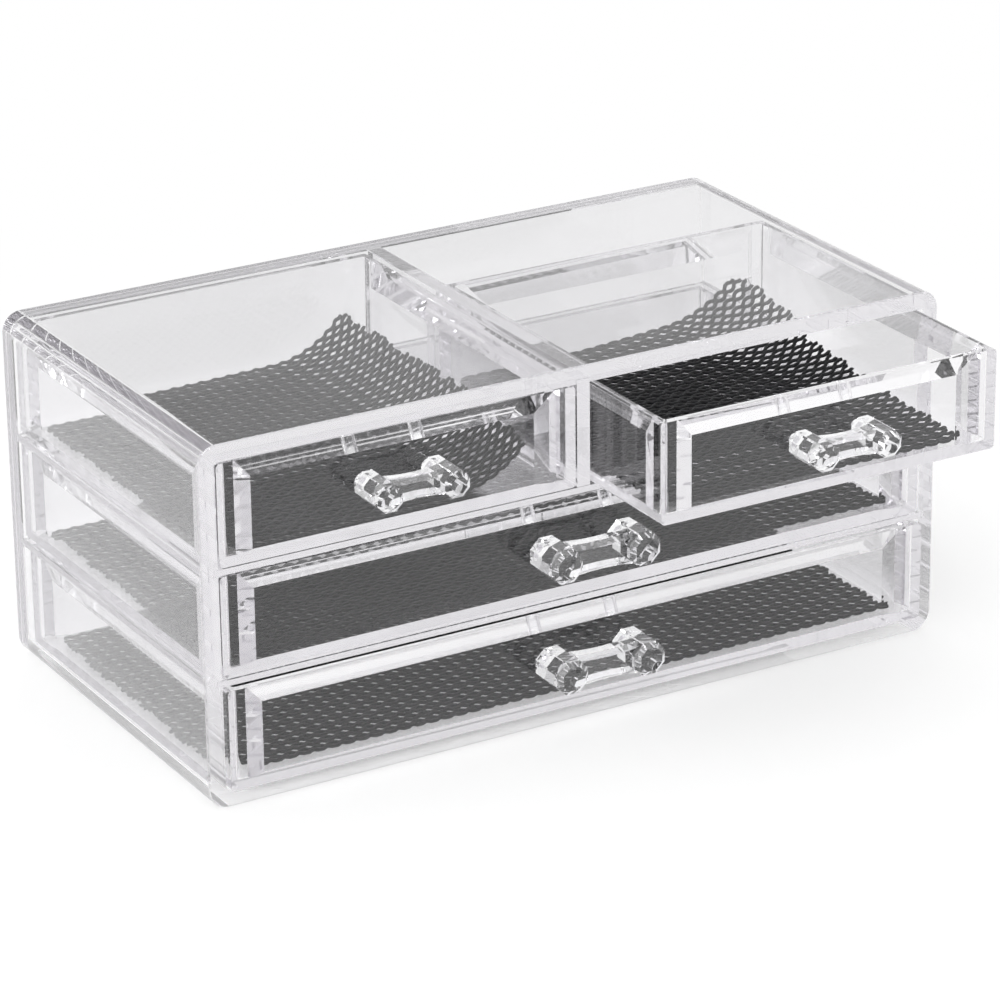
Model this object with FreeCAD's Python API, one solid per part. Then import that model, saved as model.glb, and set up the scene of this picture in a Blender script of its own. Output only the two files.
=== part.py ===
import FreeCAD, Part
import math
import os
from FreeCAD import Vector

# Clear desktop organizer: a case open at the front, with two small drawers
# side by side above two full-width ones. Millimetres, +Z up, front towards -Y.
# Origin: centre of the case's underside.

# Case
case_width = 240.0
case_depth = 125.0
case_height = 107.0
case_wall = 5.2
case_corner_radius = 6.0
case_inner_radius = 0.8
case_rim_chamfer = 0.4

# Plates glued into the case, with room for the cement round each joint
shelf_thickness = 1.8
shelf_groove_depth = 1.5
divider_thickness = 4.2
divider_groove_depth = 1.2
back_thickness = 4.0
back_rebate = 1.5
bond_gap = 0.1

# Drawer trays: each wall is thin at its edges and bevels inwards to a thick middle
wall_edge = 2.2
wall_middle = 5.2
bevel_start = 5.6
bevel_width = 6.0
rim_bevel_height = 6.7
floor_thickness = 2.2
tray_inner_fillet = 1.0
tray_edge_fillet = 1.2
side_clearance = 0.5
top_clearance = 0.5
glide_clearance = 0.3
rear_clearance = 0.6

# Handles, in two sizes: octagonal knobs joined by a waisted bar
small_knob_spacing = 20.8
small_knob_flats = 7.8
small_projection = 14.4
wide_knob_spacing = 25.4
wide_knob_flats = 10.0
wide_projection = 13.2
knob_chamfer_width = 1.5
knob_chamfer_length = 1.2
bar_setback = 4.4
bar_depth = 6.2
bar_chamfer = 1.4
bar_waist = 1.3
bar_sections = 7
spigot_radius = 2.0
spigot_clearance = 0.1

# Mesh liners, as the plain sheets they are cut from
liner_thickness = 1.4
liner_margin = 1.0
liner_corner_radius = 5.0
liner_lift = 0.2

# How far the drawers stand open at rest
top_right_open = 37.0
bottom_open = 2.5

# Planes and bays that follow from the sizes above
case_front = -case_depth / 2
case_back = case_depth / 2
inner_width = case_width - 2 * case_wall
ceiling = case_height - case_wall
bay_height = (ceiling - case_wall - 2 * shelf_thickness) / 3
bay_depth = case_depth - back_thickness
lower_shelf_top = case_wall + bay_height + shelf_thickness
upper_shelf_top = lower_shelf_top + bay_height + shelf_thickness
tray_height = bay_height - glide_clearance - top_clearance
tray_depth = bay_depth - rear_clearance
wide_tray_width = inner_width - 2 * side_clearance
half_bay_width = (inner_width - divider_thickness) / 2
small_tray_width = half_bay_width - 2 * side_clearance
small_tray_x = (divider_thickness + half_bay_width) / 2


def slab(x0, x1, y0, y1, z0, z1):
    """Box between two opposite corners."""
    return Part.makeBox(x1 - x0, y1 - y0, z1 - z0, Vector(x0, y0, z0))


def edges_along(shape, direction, low, high):
    """Straight edges parallel to a direction whose middle lies between two heights."""
    found = []
    for edge in shape.Edges:
        run = edge.Vertexes[-1].Point - edge.Vertexes[0].Point
        middle = edge.BoundBox.Center
        if run.Length > 1e-6 and run.normalize().cross(direction).Length < 1e-6:
            if low - 1e-6 <= middle.z <= high + 1e-6:
                found.append(edge)
    return found


def octagon(centre, normal, flats):
    """Octagonal outline across a given size, one pair of flats level."""
    radius = flats / 2 / math.cos(math.pi / 8)
    side = Vector(0, 0, 1).cross(normal)
    points = []
    for index in range(8):
        angle = math.pi / 8 + index * math.pi / 4
        offset = side * (radius * math.cos(angle)) + Vector(0, 0, radius * math.sin(angle))
        points.append(centre + offset)
    return Part.makePolygon(points + points[:1])


def case_shell():
    """Tube with rounded outer corners, grooved for the shelves, divider and back panel."""
    half = case_width / 2
    outer = slab(-half, half, case_front, case_back, 0, case_height)
    outer = outer.makeFillet(case_corner_radius, edges_along(outer, Vector(0, 1, 0), 0, case_height))
    rims = [e for e in outer.Edges if e.BoundBox.YLength < 1e-6]
    outer = outer.makeChamfer(case_rim_chamfer, rims)
    inner_half = inner_width / 2
    room = slab(-inner_half, inner_half, case_front, case_back, case_wall, ceiling)
    room = room.makeFillet(case_inner_radius, edges_along(room, Vector(0, 1, 0), 0, case_height))
    shell = outer.cut(room)
    for plate in (shelf(lower_shelf_top), shelf(upper_shelf_top), top_divider(), back_panel()):
        shell = shell.cut(socket(plate))
    return shell


def socket(plate):
    """Groove or rebate that takes a plate, larger than it by the cement's room."""
    box = plate.BoundBox
    return slab(
        box.XMin - bond_gap, box.XMax + bond_gap, box.YMin - bond_gap, box.YMax + bond_gap,
        box.ZMin - bond_gap, box.ZMax + bond_gap)


def back_panel():
    """Plate seated in a rebate at the rear of the case."""
    half = inner_width / 2 + back_rebate
    front = case_back - back_thickness
    return slab(-half, half, front, case_back, case_wall - back_rebate, ceiling + back_rebate)


def shelf(top):
    """Thin plate held in grooves of both side walls, flush with the case at the front."""
    half = inner_width / 2 + shelf_groove_depth
    rear = case_back - back_thickness - bond_gap
    return slab(-half, half, case_front, rear, top - shelf_thickness, top)


def top_divider():
    """Upright plate between the two small drawers, tongued into the top of the case."""
    half = divider_thickness / 2
    rear = case_back - back_thickness - bond_gap
    foot = upper_shelf_top + bond_gap
    return slab(-half, half, case_front, rear, foot, ceiling + divider_groove_depth)


def wall_pad(corner, along, inward, length, height):
    """Bevelled thickening on a tray wall, from the wall's lower outer corner at floor level."""
    def frame(depth, setback, top):
        start = corner + inward * depth + along * setback
        end = start + along * (length - 2 * setback)
        up = Vector(0, 0, top)
        return Part.makePolygon([start, end, end + up, start + up, start])

    thickening = wall_middle - wall_edge
    side_slope = bevel_width / thickening
    rim_slope = rim_bevel_height / thickening
    root = frame(wall_edge / 2, bevel_start - side_slope * wall_edge / 2, height + rim_slope * wall_edge / 2)
    crown = frame(wall_middle, bevel_start + bevel_width, height - rim_bevel_height)
    return Part.makeLoft([root, crown], True, True)


def tray_cavity(x, width):
    """Room inside a closed tray, narrowed by the thick middle of each wall."""
    floor = upper_shelf_top + glide_clearance + floor_thickness
    rim = upper_shelf_top + glide_clearance + tray_height
    left = x - width / 2
    right = x + width / 2
    rear = case_front + tray_depth
    overshoot = 1.0
    room = slab(
        left + wall_edge, right - wall_edge, case_front + wall_edge, rear - wall_edge, floor, rim + overshoot)
    room = room.makeFillet(tray_inner_fillet, edges_along(room, Vector(0, 0, 1), floor, rim + overshoot))
    room = room.makeFillet(tray_inner_fillet, [e for e in room.Edges if e.BoundBox.ZMax < floor + 1e-6])
    walls = (
        (Vector(left, case_front, floor), Vector(1, 0, 0), Vector(0, 1, 0), width),
        (Vector(left, rear, floor), Vector(1, 0, 0), Vector(0, -1, 0), width),
        (Vector(left, case_front, floor), Vector(0, 1, 0), Vector(1, 0, 0), tray_depth),
        (Vector(right, case_front, floor), Vector(0, 1, 0), Vector(-1, 0, 0), tray_depth),
    )
    for corner, along, inward, length in walls:
        room = room.cut(wall_pad(corner, along, inward, length, rim - floor))
    return room


def tray(x, width, knob_spacing):
    """Open tray of a top-row drawer when shut, bored for its handle's spigots."""
    base = upper_shelf_top + glide_clearance
    body = slab(x - width / 2, x + width / 2, case_front, case_front + tray_depth, base, base + tray_height)
    body = body.makeFillet(tray_edge_fillet, edges_along(body, Vector(0, 1, 0), base, base + tray_height))
    body = body.cut(tray_cavity(x, width))
    for side in (-1, 1):
        centre = Vector(x + side * knob_spacing / 2, case_front, base + tray_height / 2)
        bore = Part.makeCylinder(spigot_radius + spigot_clearance, wall_middle, centre, Vector(0, 1, 0))
        body = body.cut(bore)
    return body


def knob(x, z, flats, projection):
    """Octagonal knob with a chamfered face, and its spigot through the tray's wall."""
    outward = Vector(0, -1, 0)
    back = case_front - bond_gap
    face = back - projection
    shoulder = octagon(Vector(x, face + knob_chamfer_length, z), outward, flats)
    spigot = Part.makeCylinder(spigot_radius, wall_middle, Vector(x, back, z), Vector(0, 1, 0))
    barrel = Part.makeLoft([octagon(Vector(x, back, z), outward, flats), shoulder], True, True)
    nose_face = octagon(Vector(x, face, z), outward, flats - 2 * knob_chamfer_width)
    nose = Part.makeLoft([shoulder, nose_face], True, True)
    return barrel.fuse([spigot, nose])


def bar_section(x, z, height):
    """Chamfered upright section of a handle's bar."""
    near = case_front - bond_gap - bar_setback
    far = near - bar_depth
    top = z + height / 2
    foot = z - height / 2
    cut = bar_chamfer
    corners = (
        (near, top - cut), (near - cut, top), (far + cut, top), (far, top - cut),
        (far, foot + cut), (far + cut, foot), (near - cut, foot), (near, foot + cut))
    points = [Vector(x, y, level) for y, level in corners]
    return Part.makePolygon(points + points[:1])


def handle(x, knob_spacing, flats, projection):
    """Bone-shaped handle of a top-row drawer when shut."""
    z = upper_shelf_top + glide_clearance + tray_height / 2
    reach = knob_spacing / 2 - flats / 4
    sections = []
    for index in range(bar_sections):
        step = 2 * index / (bar_sections - 1) - 1
        sections.append(bar_section(x + step * reach, z, flats - bar_waist * (1 - step * step)))
    bar = Part.makeLoft(sections, True, True)
    knobs = [knob(x + side * knob_spacing / 2, z, flats, projection) for side in (-1, 1)]
    return bar.fuse(knobs).removeSplitter()


def liner(x, width):
    """Sheet lying on a top-row drawer's floor when shut."""
    y = case_front + tray_depth / 2
    z = upper_shelf_top + glide_clearance + floor_thickness + liner_lift
    half_width = width / 2 - wall_middle - liner_margin
    half_depth = tray_depth / 2 - wall_middle - liner_margin
    sheet = slab(x - half_width, x + half_width, y - half_depth, y + half_depth, z, z + liner_thickness)
    return sheet.makeFillet(liner_corner_radius, edges_along(sheet, Vector(0, 0, 1), z, z + liner_thickness))


def placed(shape, shelves_down, opening):
    """Copy moved down by whole bays and out of the case by its opening."""
    drop = shelves_down * (bay_height + shelf_thickness)
    copy = shape.copy()
    copy.translate(Vector(0, -opening, -drop))
    return copy


def save(name, shape):
    """Check one node's solid and write its file."""
    if not shape.isValid() or len(shape.Solids) != 1:
        raise ValueError(name + " is not one valid solid")
    shape.Solids[0].exportStep("parts/" + name + ".step")


def build():
    """Write every piece of the organizer."""
    os.makedirs("parts", exist_ok=True)
    save("case_shell", case_shell())
    save("back_panel", back_panel())
    save("upper_shelf", shelf(upper_shelf_top))
    save("lower_shelf", shelf(lower_shelf_top))
    save("top_divider", top_divider())
    small = (small_knob_spacing, small_knob_flats, small_projection)
    wide = (wide_knob_spacing, wide_knob_flats, wide_projection)
    drawers = (
        ("top_left", -small_tray_x, small_tray_width, small, 0, 0.0),
        ("top_right", small_tray_x, small_tray_width, small, 0, top_right_open),
        ("middle", 0.0, wide_tray_width, wide, 1, 0.0),
        ("bottom", 0.0, wide_tray_width, wide, 2, bottom_open),
    )
    for name, x, width, grip, shelves_down, opening in drawers:
        save("drawer_" + name, placed(tray(x, width, grip[0]), shelves_down, opening))
        save("handle_" + name, placed(handle(x, *grip), shelves_down, opening))
        save("liner_" + name, placed(liner(x, width), shelves_down, opening))


build()
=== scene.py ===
import bpy
import math
import numpy as np
from mathutils import Matrix, Vector


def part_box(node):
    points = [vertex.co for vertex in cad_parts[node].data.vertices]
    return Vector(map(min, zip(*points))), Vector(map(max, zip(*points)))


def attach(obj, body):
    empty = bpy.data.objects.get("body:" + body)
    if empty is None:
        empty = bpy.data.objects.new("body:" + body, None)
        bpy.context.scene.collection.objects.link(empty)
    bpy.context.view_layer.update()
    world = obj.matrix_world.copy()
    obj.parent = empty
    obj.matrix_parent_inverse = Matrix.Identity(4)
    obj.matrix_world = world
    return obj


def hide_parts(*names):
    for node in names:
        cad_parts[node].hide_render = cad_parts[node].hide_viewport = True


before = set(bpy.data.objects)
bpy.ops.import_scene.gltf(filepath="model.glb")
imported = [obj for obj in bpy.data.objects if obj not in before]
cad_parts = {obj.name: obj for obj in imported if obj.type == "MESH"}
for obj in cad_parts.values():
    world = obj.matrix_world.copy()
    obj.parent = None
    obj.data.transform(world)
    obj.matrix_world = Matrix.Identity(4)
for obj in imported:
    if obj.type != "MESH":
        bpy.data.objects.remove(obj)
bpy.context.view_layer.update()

# ---------------------------------------------------------------- case
# The case is one thick clear moulding, open at the front, with a flush-fitted
# back panel. Its material is set up here, because every clear piece after it
# is moulded from the same acrylic in another grade.


class Signal:
    """Output of a shader node, with arithmetic that adds Math nodes behind it."""

    def __init__(self, finish, socket):
        self.finish = finish
        self.socket = socket

    def math(self, operation, *terms):
        return self.finish.node("ShaderNodeMath", {"operation": operation}, dict(enumerate(terms)))

    def __add__(self, other):
        return self.math("ADD", self, other)

    __radd__ = __add__

    def __sub__(self, other):
        return self.math("SUBTRACT", self, other)

    def __rsub__(self, other):
        return self.math("SUBTRACT", other, self)

    def __mul__(self, other):
        return self.math("MULTIPLY", self, other)

    __rmul__ = __mul__

    def sine(self):
        return self.math("SINE", self)

    def between(self, low, high):
        """0 below low and 1 above high, with a smooth step from one to the other."""
        return self.finish.node(
            "ShaderNodeMapRange", {"interpolation_type": "SMOOTHSTEP"},
            {"Value": self, "From Min": low, "From Max": high})

    def beside(self, output):
        """Another output of the same node."""
        return Signal(self.finish, self.socket.node.outputs[output])


class Finish:
    """Shader of one kind of piece, or of the room, built up node by node."""

    def __init__(self, owner, output="ShaderNodeOutputMaterial"):
        owner.use_nodes = True
        self.owner = owner
        self.tree = owner.node_tree
        self.tree.nodes.clear()
        self.output = self.tree.nodes.new(output)

    def node(self, kind, settings=None, sockets=None, take=0):
        """Add a node: its settings first, then the values or links of its sockets."""
        made = self.tree.nodes.new(kind)
        for key, value in (settings or {}).items():
            setattr(made, key, value)
        for key, value in (sockets or {}).items():
            if isinstance(value, Signal):
                self.tree.links.new(value.socket, made.inputs[key])
            else:
                made.inputs[key].default_value = value
        return Signal(self, made.outputs[take])

    def where(self):
        return self.node("ShaderNodeTexCoord", take="Object")

    def noise(self, scale, detail, place=None):
        place = place or self.where()
        return self.node("ShaderNodeTexNoise", {}, {"Vector": place, "Scale": scale, "Detail": detail})

    def blend(self, factor, first, second):
        """Colour that goes from first to second with the factor."""
        return self.node(
            "ShaderNodeMix", {"data_type": "RGBA"}, {0: factor, 6: first, 7: second}, take=2)

    def send(self, shader, socket="Surface"):
        """Lead a shader to the output, and give back the material or world."""
        self.tree.links.new(shader.socket, self.output.inputs[socket])
        return self.owner


def acrylic(name, clearest, cloudiest, haze, ripple, shade):
    """Clear moulded acrylic, faintly lavender down the length of an edge.

    Its colour drifts from clearest to cloudiest. haze is the roughness where
    the polish is dulled by handling, ripple the depth in metres of the broad
    waves left by the mould, and shade the share of light that one surface
    lets through to what is behind it.
    """
    scratch_stretch = 22.0
    scratch_roughness = 0.6
    scratch_height = 0.02
    made = Finish(bpy.data.materials.new(name))
    drift = made.noise(scale=9.0, detail=3.0)
    dulled = made.noise(scale=46.0, detail=4.0).between(0.52, 0.74)
    stretched = made.node(
        "ShaderNodeMapping", {}, {0: made.where(), "Scale": (1.0, scratch_stretch, 1.0)})
    hairlines = made.noise(scale=70.0, detail=3.0, place=stretched).between(0.62, 0.7)
    waves = made.noise(scale=24.0, detail=1.0)
    height = waves + scratch_height * hairlines
    bump = made.node("ShaderNodeBump", {}, {"Strength": 1.0, "Distance": ripple, "Height": height})
    clear = made.node(
        "ShaderNodeBsdfPrincipled", {},
        {"Base Color": made.blend(drift, clearest, cloudiest),
         "Roughness": haze * (dulled + scratch_roughness * hairlines),
         "IOR": 1.49, "Transmission Weight": 1.0, "Normal": bump})
    passing = made.node("ShaderNodeBsdfTransparent", {}, {"Color": (shade, shade, shade, 1.0)})
    depth = made.node(
        "ShaderNodeVolumeAbsorption", {}, {"Color": (0.8, 0.79, 0.81, 1.0), "Density": 8.0})
    made.send(depth, "Volume")
    in_shadow = made.node("ShaderNodeLightPath", take="Is Shadow Ray")
    return made.send(made.node("ShaderNodeMixShader", {}, {0: in_shadow, 1: clear, 2: passing}))


def dress(node, material):
    """Give a solid of the frame its finish."""
    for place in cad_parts[node].material_slots:
        place.material = material


case_acrylic = acrylic(
    "case_clear_acrylic", (0.992, 0.991, 0.995, 1.0), (0.978, 0.976, 0.984, 1.0),
    haze=0.02, ripple=0.000005, shade=0.93)
for plate in ("case_shell", "back_panel"):
    dress(plate, case_acrylic)

# ------------------------------------------------------------- shelves
# Two thin sheets slide into grooves of the case and carry the drawers, and a
# short upright parts the top row. They are cut from cast sheet, glued at the edges.

sheet_acrylic = acrylic(
    "shelf_cast_sheet", (0.992, 0.99, 0.994, 1.0), (0.98, 0.978, 0.984, 1.0),
    haze=0.015, ripple=0.000003, shade=0.94)
for plate in ("upper_shelf", "lower_shelf", "top_divider"):
    dress(plate, sheet_acrylic)

# ------------------------------------------------------------- drawers
# Four moulded trays, two small above two wide ones, each wall bevelled from a
# thin edge to a thick middle. They slide loose on the shelves and see handling.

drawers = ("top_left", "top_right", "middle", "bottom")
drawer_acrylic = acrylic(
    "drawer_clear_acrylic", (0.992, 0.99, 0.995, 1.0), (0.978, 0.975, 0.984, 1.0),
    haze=0.025, ripple=0.000004, shade=0.94)
for row in drawers:
    dress("drawer_" + row, drawer_acrylic)

# ------------------------------------------------------------- handles
# Bone-shaped faceted handles moulded in one piece, pegged and glued through
# the front wall of each tray. Their facets are flame polished.

handle_acrylic = acrylic(
    "handle_faceted_acrylic", (0.99, 0.99, 0.992, 1.0), (0.975, 0.978, 0.985, 1.0),
    haze=0.01, ripple=0.000002, shade=0.95)
for row in drawers:
    dress("handle_" + row, handle_acrylic)

# -------------------------------------------------------------- liners
# Black knitted net, cut by hand to the floor of each tray and laid in loose.
# Neighbouring strands are knitted together by turns, which leaves oval holes.

hole_length = 0.0045
strand_spacing = 0.002
strand_sway = 0.00042
strand_width = 0.0013
strand_depth = 0.001
strand_lift = 0.0002
cut_waver = 0.0016
cut_slip = 0.0006
rings_per_hole = 6
strand_sides = 6
liner_corner = 0.005
net_cuts = np.random.default_rng(11)


def lay_flat(x, y, z):
    """Places of a net that lies as it was cut."""
    return x, y, z


def knitted_net(name, low, high, settle):
    """Net of closed strands that run from left to right across a tray floor.

    Strand k follows y = yk + s sway c (1.5 - 0.5 c c) with c = cos(2 pi x / hole
    length) and s = +1 and -1 by turns, so that it meets the strand behind and
    the strand in front by turns. Its section is an ellipse. Its ends follow
    the liner's rounded outline less a seeded cut. settle bends the whole net.
    """
    count = int((high.y - low.y) // strand_spacing)
    rows = low.y + (high.y - low.y) / 2 + (np.arange(count) - (count - 1) / 2) * strand_spacing
    side = np.where(np.arange(count) % 2 == 0, 1.0, -1.0)
    inset = np.minimum(rows - low.y, high.y - rows)
    overlap = np.clip(liner_corner - inset, 0, liner_corner)
    rounding = liner_corner - np.sqrt(liner_corner ** 2 - overlap ** 2)
    knots = (count + 1) // 2
    trims = net_cuts.uniform(0.0, cut_waver, (2, knots)).repeat(2, axis=1)[:, :count]
    trims = trims + net_cuts.uniform(0.0, cut_slip, (2, count))
    left = low.x + rounding + trims[0] + strand_width / 2
    right = high.x - rounding - trims[1] - strand_width / 2

    rings = int((high.x - low.x) / hole_length * rings_per_hole) + 1
    share = np.linspace(0.0, 1.0, rings)
    x = left[:, None] + (right - left)[:, None] * share
    turn = 2 * np.pi * (x - low.x) / hole_length
    c = np.cos(turn)
    y = rows[:, None] + side[:, None] * strand_sway * c * (1.5 - 0.5 * c * c)
    slope = -side[:, None] * strand_sway * np.sin(turn) * (1.5 - 1.5 * c * c) * 2 * np.pi / hole_length
    middle = (low.z + high.z) / 2
    z = middle + side[:, None] * strand_lift * c * c

    length = np.hypot(1.0, slope)
    around = np.arange(strand_sides) * 2 * np.pi / strand_sides
    across = strand_width / 2 * np.cos(around)
    px = x[..., None] - slope[..., None] / length[..., None] * across
    py = y[..., None] + across / length[..., None]
    pz = z[..., None] + strand_depth / 2 * np.sin(around)
    px, py, pz = settle(px, py, pz)
    points = np.stack([px, py, pz], axis=-1).reshape(-1, 3)

    k, i, j = np.meshgrid(
        np.arange(count), np.arange(rings - 1), np.arange(strand_sides), indexing="ij")
    start = (k * rings + i) * strand_sides
    step = (j + 1) % strand_sides
    quads = np.stack(
        [start + j, start + step, start + strand_sides + step, start + strand_sides + j], axis=-1)
    caps = np.arange(count)[:, None] * rings * strand_sides
    left_caps = caps + np.arange(strand_sides)[::-1]
    right_caps = caps + (rings - 1) * strand_sides + np.arange(strand_sides)
    faces = quads.reshape(-1, 4).tolist() + left_caps.tolist() + right_caps.tolist()
    mesh = bpy.data.meshes.new(name)
    mesh.from_pydata(points.tolist(), [], faces)

    run = np.broadcast_to((x - low.x)[..., None], px.shape)
    u = np.stack([run[:, :-1], run[:, :-1], run[:, 1:], run[:, 1:]], axis=-1)
    v = np.stack([j, j + 1, j + 1, j], axis=-1) / strand_sides
    wrap = np.stack([u, np.broadcast_to(v, u.shape)], axis=-1).reshape(-1, 2)
    caps_uv = np.zeros((2 * count * strand_sides, 2))
    layer = mesh.uv_layers.new(name="yarn")
    layer.data.foreach_set("uv", np.concatenate([wrap, caps_uv]).ravel())
    mesh.polygons.foreach_set("use_smooth", np.ones(len(mesh.polygons), bool))
    mesh.update()
    made = bpy.data.objects.new(name, mesh)
    bpy.context.scene.collection.objects.link(made)
    return made


def knitted_yarn():
    """Black crimped yarn: fine twist along each strand, with fluff and worn, greyer knots, and painted
    glints that lighten the fluff tips towards grey.
    """
    twist_length = 0.0009
    fluff_glint_share = 0.6
    made = Finish(bpy.data.materials.new("black_knitted_yarn"))
    yarn = made.node("ShaderNodeUVMap", {"uv_map": "yarn"})
    along = made.node("ShaderNodeSeparateXYZ", {}, {0: yarn}, take="X")
    around = along.beside("Y")
    twist = ((along * (1 / twist_length) + around) * (2 * math.pi)).sine() * 0.5 + 0.5
    fluff = made.noise(scale=1800.0, detail=4.0)
    worn = made.noise(scale=60.0, detail=3.0).between(0.45, 0.75)
    height = 0.7 * twist + 0.5 * fluff
    bump = made.node("ShaderNodeBump", {}, {"Strength": 0.8, "Distance": 0.00012, "Height": height})
    dark = made.blend(worn, (0.004, 0.004, 0.005, 1.0), (0.014, 0.014, 0.016, 1.0))
    # Painted highlight: the base colour of the fluff tips is blended to a lighter grey, as glints of
    # light on the yarn.
    fluff_glints = fluff.between(0.5, 0.8) * fluff_glint_share
    return made.send(made.node(
        "ShaderNodeBsdfPrincipled", {},
        {"Base Color": made.blend(fluff_glints, dark, (0.034, 0.034, 0.037, 1.0)),
         "Roughness": 0.45 + 0.25 * fluff, "IOR": 1.5, "Specular IOR Level": 0.25,
         "Sheen Weight": 0.06, "Sheen Roughness": 0.4, "Normal": bump}))


class RaisedEdge:
    """Bend of a net whose right edge curls up along the tray wall, as off a roll.

    Distance d past a line near the right edge, skewed towards the rear corner,
    becomes r sin(d / r) across and r (1 - cos(d / r)) up. The rear edge also
    rises by the square of how near it is, fading out to the left.
    """

    rear_depth = 0.030
    rear_width = 0.075

    def __init__(self, radius, reach, skew, rear_lift):
        self.radius = radius
        self.reach = reach
        self.outward = (math.cos(math.radians(skew)), math.sin(math.radians(skew)))
        self.rear_lift = rear_lift

    def __call__(self, x, y, z):
        right, rear, floor = x.max(), y.max(), z.min()
        near = np.clip((y - rear) / self.rear_depth + 1, 0, None)
        fade = np.clip((x - right) / self.rear_width + 1, 0, 1)
        z = z + self.rear_lift * near ** 2 * fade ** 1.5
        d = np.clip((x - right) * self.outward[0] + (y - rear) * self.outward[1] + self.reach, 0, None)
        bend = d / self.radius
        inner = self.radius - (z - floor)
        across = inner * np.sin(bend) - d
        up = self.radius - inner * np.cos(bend) - (z - floor)
        return x + across * self.outward[0], y + across * self.outward[1], z + up


bends = {
    "top_left": RaisedEdge(radius=0.032, reach=0.030, skew=0.0, rear_lift=0.002),
    "top_right": RaisedEdge(radius=0.036, reach=0.032, skew=14.0, rear_lift=0.006),
}
yarn_black = knitted_yarn()
for row in drawers:
    low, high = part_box("liner_" + row)
    net = knitted_net("net_liner_" + row, low, high, bends.get(row, lay_flat))
    net.data.materials.append(yarn_black)
    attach(net, row + "_drawer")
    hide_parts("liner_" + row)

# ---------------------------------------------------- floor and light
# The organizer stands on a white sweep in an even white room, with one wide
# soft lamp above its left front corner. What the clear plates mirror has a
# duller band low over the horizon, as of walls beyond the white.

sweep = Finish(bpy.data.materials.new("white_sweep"))
seen = sweep.node("ShaderNodeLightPath", take="Is Camera Ray")
mirrored, through = seen.beside("Is Glossy Ray"), seen.beside("Is Transmission Ray")
looked_at = (seen + mirrored + through).between(0.0, 0.5)
grain = sweep.noise(scale=400.0, detail=3.0)
paper = sweep.blend(grain, (0.86, 0.86, 0.86, 1.0), (0.88, 0.88, 0.88, 1.0))
lit = sweep.node(
    "ShaderNodeBsdfPrincipled", {},
    {"Base Color": sweep.blend(looked_at, paper, (0.985, 0.985, 0.985, 1.0)),
     "Roughness": 0.9, "Specular IOR Level": 0.2})
bright = sweep.node("ShaderNodeEmission", {}, {"Color": (1.0, 1.0, 1.0, 1.0), "Strength": 1.0})
near_whiteness = 0.3
away = sweep.node("ShaderNodeVectorMath", {"operation": "LENGTH"}, {0: sweep.where()}, take="Value")
whiteness = looked_at * (near_whiteness + (1 - near_whiteness) * away.between(0.15, 0.42))
sweep_white = sweep.send(sweep.node("ShaderNodeMixShader", {}, {0: whiteness, 1: lit, 2: bright}))
sweep_white.cycles.emission_sampling = "NONE"

sweep_half = 4.0
sweep_lines = 33
spread = np.linspace(-sweep_half, sweep_half, sweep_lines)
sweep_y, sweep_x = np.meshgrid(spread, spread, indexing="ij")
sweep_points = np.stack([sweep_x, sweep_y, np.zeros_like(sweep_x)], axis=-1).reshape(-1, 3)
corner = np.arange(sweep_lines ** 2).reshape(sweep_lines, sweep_lines)
sweep_faces = np.stack(
    [corner[:-1, :-1], corner[:-1, 1:], corner[1:, 1:], corner[1:, :-1]], axis=-1).reshape(-1, 4)
sweep_mesh = bpy.data.meshes.new("white_sweep")
sweep_mesh.from_pydata(sweep_points.tolist(), [], sweep_faces.tolist())
sweep_mesh.materials.append(sweep_white)
sweep_object = bpy.data.objects.new("white_sweep", sweep_mesh)
bpy.context.scene.collection.objects.link(sweep_object)

room_level = 0.9
band_dullness = 0.36
air = Finish(bpy.data.worlds.new("white_room"), "ShaderNodeOutputWorld")
direction = air.node("ShaderNodeTexCoord", take="Generated")
rise = air.node("ShaderNodeSeparateXYZ", {}, {0: direction}, take="Z")
band = rise.between(0.16, 0.32) * (1.0 - rise.between(0.42, 0.6))
mirrors = air.node("ShaderNodeLightPath", take="Glossy Depth")
few_mirrors = mirrors.between(0.0, 1.0) * (1.0 - mirrors.between(2.0, 4.0))
diffused = mirrors.beside("Diffuse Depth").between(0.0, 1.0)
level = diffused * room_level + (1.0 - diffused) * (1.0 - few_mirrors * band * band_dullness)
bpy.context.scene.world = air.send(air.node(
    "ShaderNodeBackground", {}, {"Color": (1.0, 1.0, 1.0, 1.0), "Strength": level}))

lamp = bpy.data.lights.new("soft_lamp", "AREA")
lamp.size = 0.6
lamp.energy = 5.0
lamp_place = Vector((-0.5, -0.6, 0.9))
lamp_object = bpy.data.objects.new("soft_lamp", lamp)
lamp_aim = (Vector((0.0, 0.0, 0.05)) - lamp_place).to_track_quat("-Z", "Y")
lamp_object.matrix_world = Matrix.Translation(lamp_place) @ lamp_aim.to_matrix().to_4x4()
bpy.context.scene.collection.objects.link(lamp_object)

camera = bpy.data.cameras.new("camera")
camera.sensor_width = 36.0
camera.lens = 166.123
camera_place = Vector((-0.61767, -1.0914, 0.55614))
camera_right = Vector((0.864908, -0.501799, -0.011466))
camera_up = Vector((0.198654, 0.321245, 0.925926))
camera_back = camera_right.cross(camera_up)
camera_turn = Matrix((camera_right, camera_up, camera_back)).transposed().to_4x4()
camera_object = bpy.data.objects.new("camera", camera)
camera_object.matrix_world = Matrix.Translation(camera_place) @ camera_turn
bpy.context.scene.collection.objects.link(camera_object)
bpy.context.scene.camera = camera_object
bpy.context.scene.view_settings.view_transform = "Standard"

# Light runs round inside the thick clear edges many times before it leaves.
bounces = 96
bpy.context.scene.cycles.max_bounces = bounces
bpy.context.scene.cycles.glossy_bounces = bounces
bpy.context.scene.cycles.transmission_bounces = bounces
bpy.context.scene.cycles.transparent_max_bounces = 24
